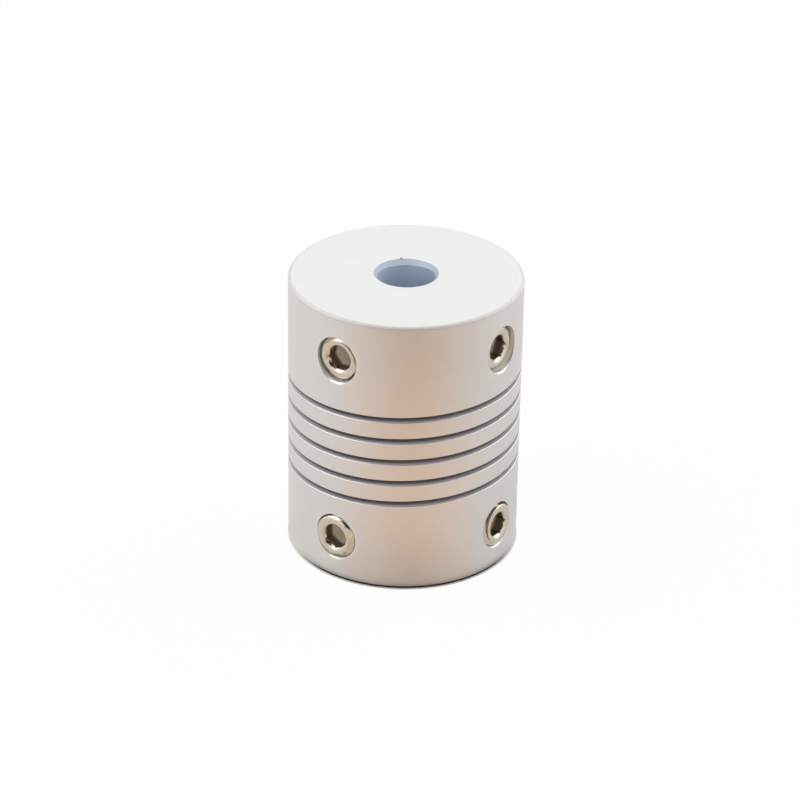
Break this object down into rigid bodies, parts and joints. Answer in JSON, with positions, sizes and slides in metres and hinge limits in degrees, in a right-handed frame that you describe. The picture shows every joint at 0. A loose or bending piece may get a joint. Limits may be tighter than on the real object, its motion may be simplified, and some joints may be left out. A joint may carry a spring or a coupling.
{
  "type": "flexible coupling",
  "caption": "Cylindrical aluminium flexible shaft coupling with a helical slit through its wall, a through bore and radial hex-socket set screws at both ends.",
  "frame": {"origin": "on the shaft axis, half-way between the two end faces", "axes": "+Z along the shafts towards the upper end; the front set screws face -Y and the right set screws face +X"},
  "size_m": [0.0201, 0.0201, 0.025],
  "materials": {
    "body": "fine-turned satin aluminium",
    "screws": "bright plain steel"
  },
  "bodies": {
    "body": {"coupling_body": "body"},
    "upper_front_screw": {"set_screw_upper_front": "screws"},
    "upper_right_screw": {"set_screw_upper_right": "screws"},
    "lower_front_screw": {"set_screw_lower_front": "screws"},
    "lower_right_screw": {"set_screw_lower_right": "screws"}
  },
  "joints": [
    {"name": "upper_front_screw_slide", "type": "slide", "parent": "body", "child": "upper_front_screw", "axis": [0, -1, 0], "range_m": [-0.0028, 0.0056]},
    {"name": "upper_right_screw_slide", "type": "slide", "parent": "body", "child": "upper_right_screw", "axis": [1, 0, 0], "range_m": [-0.0028, 0.0056]},
    {"name": "lower_front_screw_slide", "type": "slide", "parent": "body", "child": "lower_front_screw", "axis": [0, -1, 0], "range_m": [-0.0028, 0.0056]},
    {"name": "lower_right_screw_slide", "type": "slide", "parent": "body", "child": "lower_right_screw", "axis": [1, 0, 0], "range_m": [-0.0028, 0.0056]}
  ]
}
